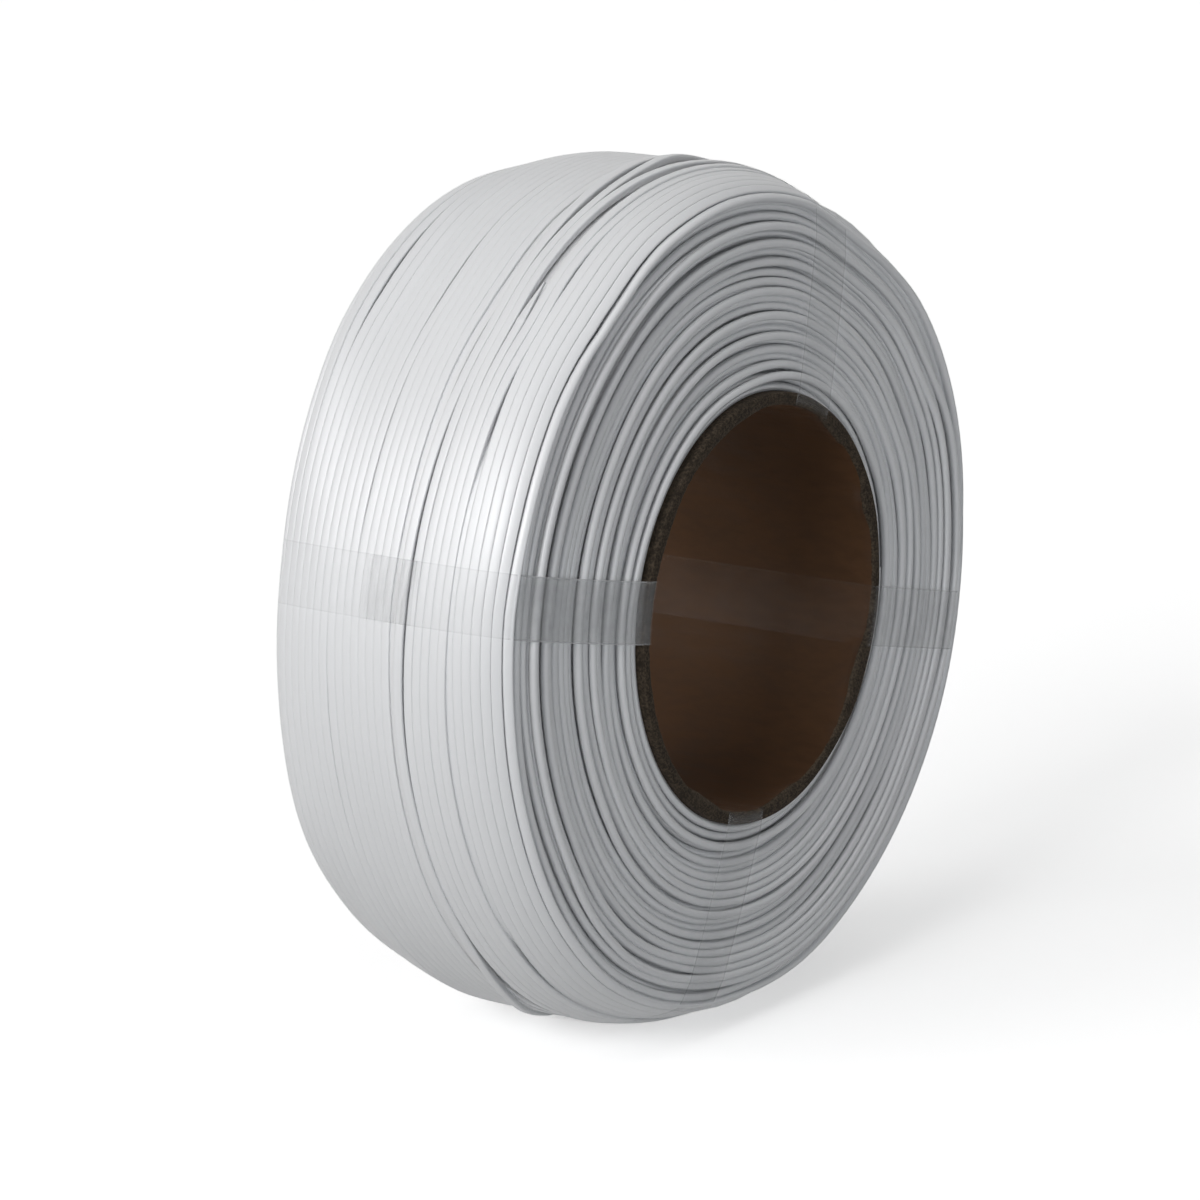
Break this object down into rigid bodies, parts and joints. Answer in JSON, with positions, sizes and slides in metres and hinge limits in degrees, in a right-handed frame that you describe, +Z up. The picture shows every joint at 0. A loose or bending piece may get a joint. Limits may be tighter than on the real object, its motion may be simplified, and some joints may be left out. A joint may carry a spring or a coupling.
{
  "type": "filament refill coil",
  "caption": "Refill coil of white printing filament wound on an open paper tube and held by clear tape straps, to be slid onto a reusable spool hub.",
  "frame": {"origin": "middle of the bore: on the tube's axis, half way along the tube", "axes": "+Y along the bore from the pictured front face to the back face, +Z up with the coil standing on its rim, +X to the right seen from the front"},
  "size_m": [0.17, 0.0584, 0.1688],
  "materials": {
    "tube_paper": "matt brown spiral-wound paper board",
    "filament": "satin white extruded plastic strand",
    "tape": "clear adhesive film tape"
  },
  "bodies": {
    "root": {"core_tube": "tube_paper", "filament_pack": "filament", "filament_outer_layer": "filament", "strap_upper": "tape", "strap_left": "tape", "strap_lower": "tape", "strap_right": "tape"}
  },
  "joints": []
}
